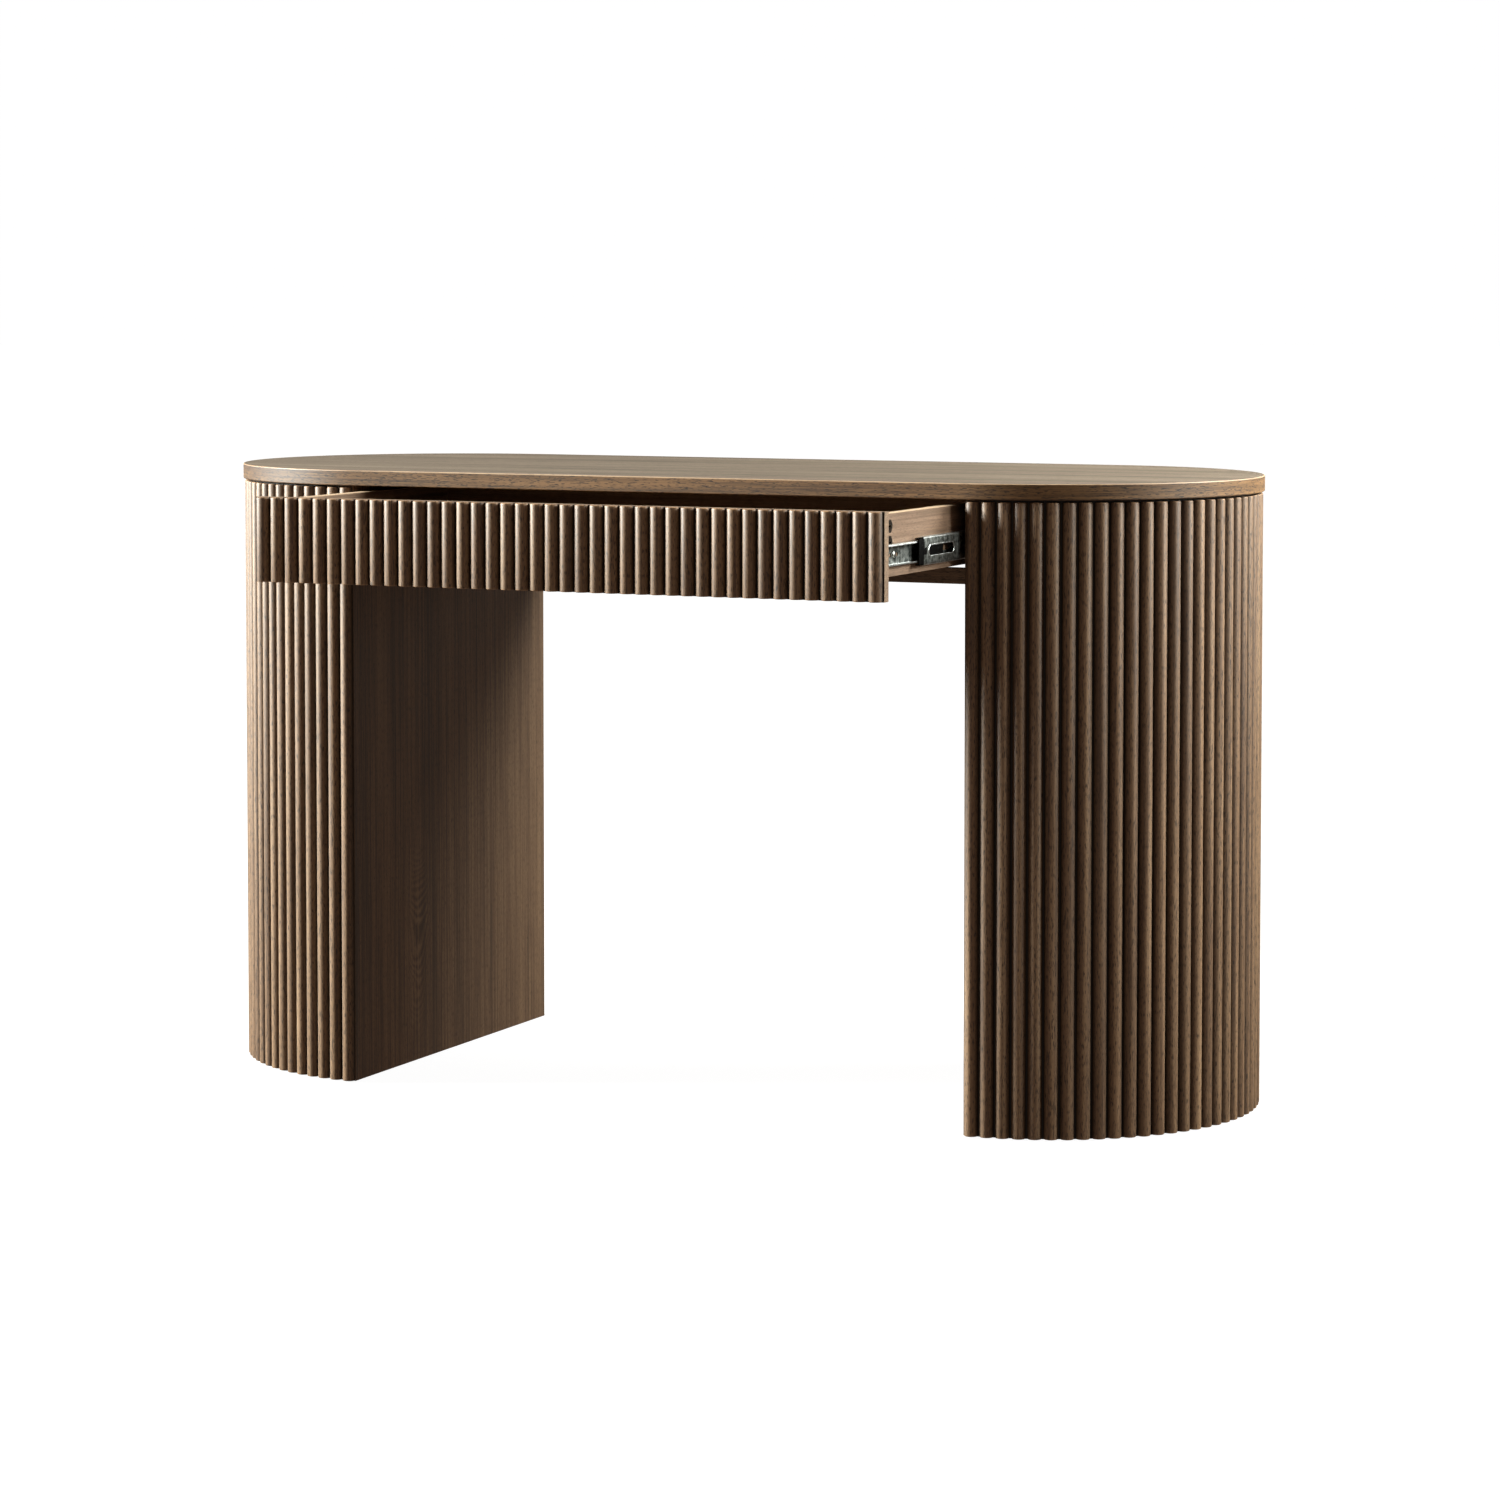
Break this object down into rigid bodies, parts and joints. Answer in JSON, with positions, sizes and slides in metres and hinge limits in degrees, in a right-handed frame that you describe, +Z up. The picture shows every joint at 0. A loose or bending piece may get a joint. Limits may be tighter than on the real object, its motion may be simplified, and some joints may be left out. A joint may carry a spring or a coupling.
{
  "type": "writing desk",
  "caption": "Racetrack-topped writing desk on half-round reeded pedestals with a wide reeded drawer that runs out on ball-bearing slides.",
  "frame": {"origin": "on the floor, at the middle of the box that holds the desk with its drawer part open; the desk's own middle lies 116.5 mm behind it, towards +Y", "axes": "+X along the desk's length to the right as seen from the drawer side, -Y the way the drawer opens, +Z up"},
  "size_m": [1.34, 0.765, 0.76],
  "materials": {
    "top_veneer": "satin lacquer on brown-stained open-pore veneer",
    "panel_veneer": "satin lacquer on brown-stained open-pore veneer",
    "reed_veneer": "satin lacquer on brown-stained open-pore wood",
    "drawer_reed_veneer": "satin lacquer on brown-stained open-pore wood",
    "backing_veneer": "satin lacquer on brown-stained veneer",
    "drawer_wood": "satin lacquer on light wood",
    "drawer_floor": "satin lacquer on thin board",
    "inside_board": "bare board",
    "dowel_beech": "bare beech",
    "slide_zinc": "zinc plated steel strip",
    "screw_steel": "zinc plated steel",
    "ball_steel": "polished bearing steel",
    "cage_steel": "thin rolled steel strip",
    "black_plastic": "moulded plastic",
    "cam_zinc": "dark die-cast zinc",
    "glide_nylon": "moulded nylon"
  },
  "bodies": {
    "carcass": {"desk_top": "top_veneer", "front_rail": "backing_veneer", "rear_apron_panel": "backing_veneer", "rear_apron_reeds": "reed_veneer", "rail_dowels": "dowel_beech", "apron_dowels": "dowel_beech", "apron_brackets": "slide_zinc", "apron_bracket_screws": "screw_steel", "left_inner_panel": "panel_veneer", "left_curved_core": "backing_veneer", "left_top_plate": "inside_board", "left_middle_rib": "inside_board", "left_bottom_plate": "inside_board", "left_reeds": "reed_veneer", "left_glides": "glide_nylon", "left_top_screws": "screw_steel", "left_slide_outer": "slide_zinc", "left_slide_outer_screws": "screw_steel", "right_inner_panel": "panel_veneer", "right_curved_core": "backing_veneer", "right_top_plate": "inside_board", "right_middle_rib": "inside_board", "right_bottom_plate": "inside_board", "right_reeds": "reed_veneer", "right_glides": "glide_nylon", "right_top_screws": "screw_steel", "right_slide_outer": "slide_zinc", "right_slide_outer_screws": "screw_steel"},
    "drawer": {"drawer_front_panel": "backing_veneer", "drawer_front_reeds": "drawer_reed_veneer", "drawer_left_side": "drawer_wood", "drawer_right_side": "drawer_wood", "drawer_back": "drawer_wood", "drawer_bottom": "drawer_floor", "drawer_left_cams": "cam_zinc", "drawer_right_cams": "cam_zinc", "drawer_cam_bolts": "screw_steel", "left_slide_inner": "slide_zinc", "left_slide_inner_screws": "screw_steel", "right_slide_inner": "slide_zinc", "right_slide_inner_screws": "screw_steel"},
    "left_slide_middle": {"left_slide_middle": "slide_zinc", "left_slide_bumper": "black_plastic"},
    "left_outer_race": {"left_outer_cage": "cage_steel", "left_outer_balls": "ball_steel"},
    "left_inner_race": {"left_inner_cage": "cage_steel", "left_inner_balls": "ball_steel"},
    "right_slide_middle": {"right_slide_middle": "slide_zinc", "right_slide_bumper": "black_plastic"},
    "right_outer_race": {"right_outer_cage": "cage_steel", "right_outer_balls": "ball_steel"},
    "right_inner_race": {"right_inner_cage": "cage_steel", "right_inner_balls": "ball_steel"}
  },
  "joints": [
    {"name": "drawer_slide", "type": "slide", "parent": "carcass", "child": "drawer", "axis": [0, -1, 0], "range_m": [-0.235, 0.145]},
    {"name": "left_slide_middle_run", "type": "slide", "parent": "carcass", "child": "left_slide_middle", "axis": [0, -1, 0], "range_m": [-0.1567, 0.0967]},
    {"name": "left_outer_race_run", "type": "slide", "parent": "carcass", "child": "left_outer_race", "axis": [0, -1, 0], "range_m": [-0.0784, 0.0484]},
    {"name": "left_inner_race_run", "type": "slide", "parent": "carcass", "child": "left_inner_race", "axis": [0, -1, 0], "range_m": [-0.1959, 0.1209]},
    {"name": "right_slide_middle_run", "type": "slide", "parent": "carcass", "child": "right_slide_middle", "axis": [0, -1, 0], "range_m": [-0.1567, 0.0967]},
    {"name": "right_outer_race_run", "type": "slide", "parent": "carcass", "child": "right_outer_race", "axis": [0, -1, 0], "range_m": [-0.0784, 0.0484]},
    {"name": "right_inner_race_run", "type": "slide", "parent": "carcass", "child": "right_inner_race", "axis": [0, -1, 0], "range_m": [-0.1959, 0.1209]}
  ],
  "couplings": [
    {"joint": "left_slide_middle_run", "follows": "drawer_slide", "ratio": 0.6667},
    {"joint": "left_outer_race_run", "follows": "drawer_slide", "ratio": 0.33335},
    {"joint": "left_inner_race_run", "follows": "drawer_slide", "ratio": 0.83335},
    {"joint": "right_slide_middle_run", "follows": "drawer_slide", "ratio": 0.6667},
    {"joint": "right_outer_race_run", "follows": "drawer_slide", "ratio": 0.33335},
    {"joint": "right_inner_race_run", "follows": "drawer_slide", "ratio": 0.83335}
  ]
}
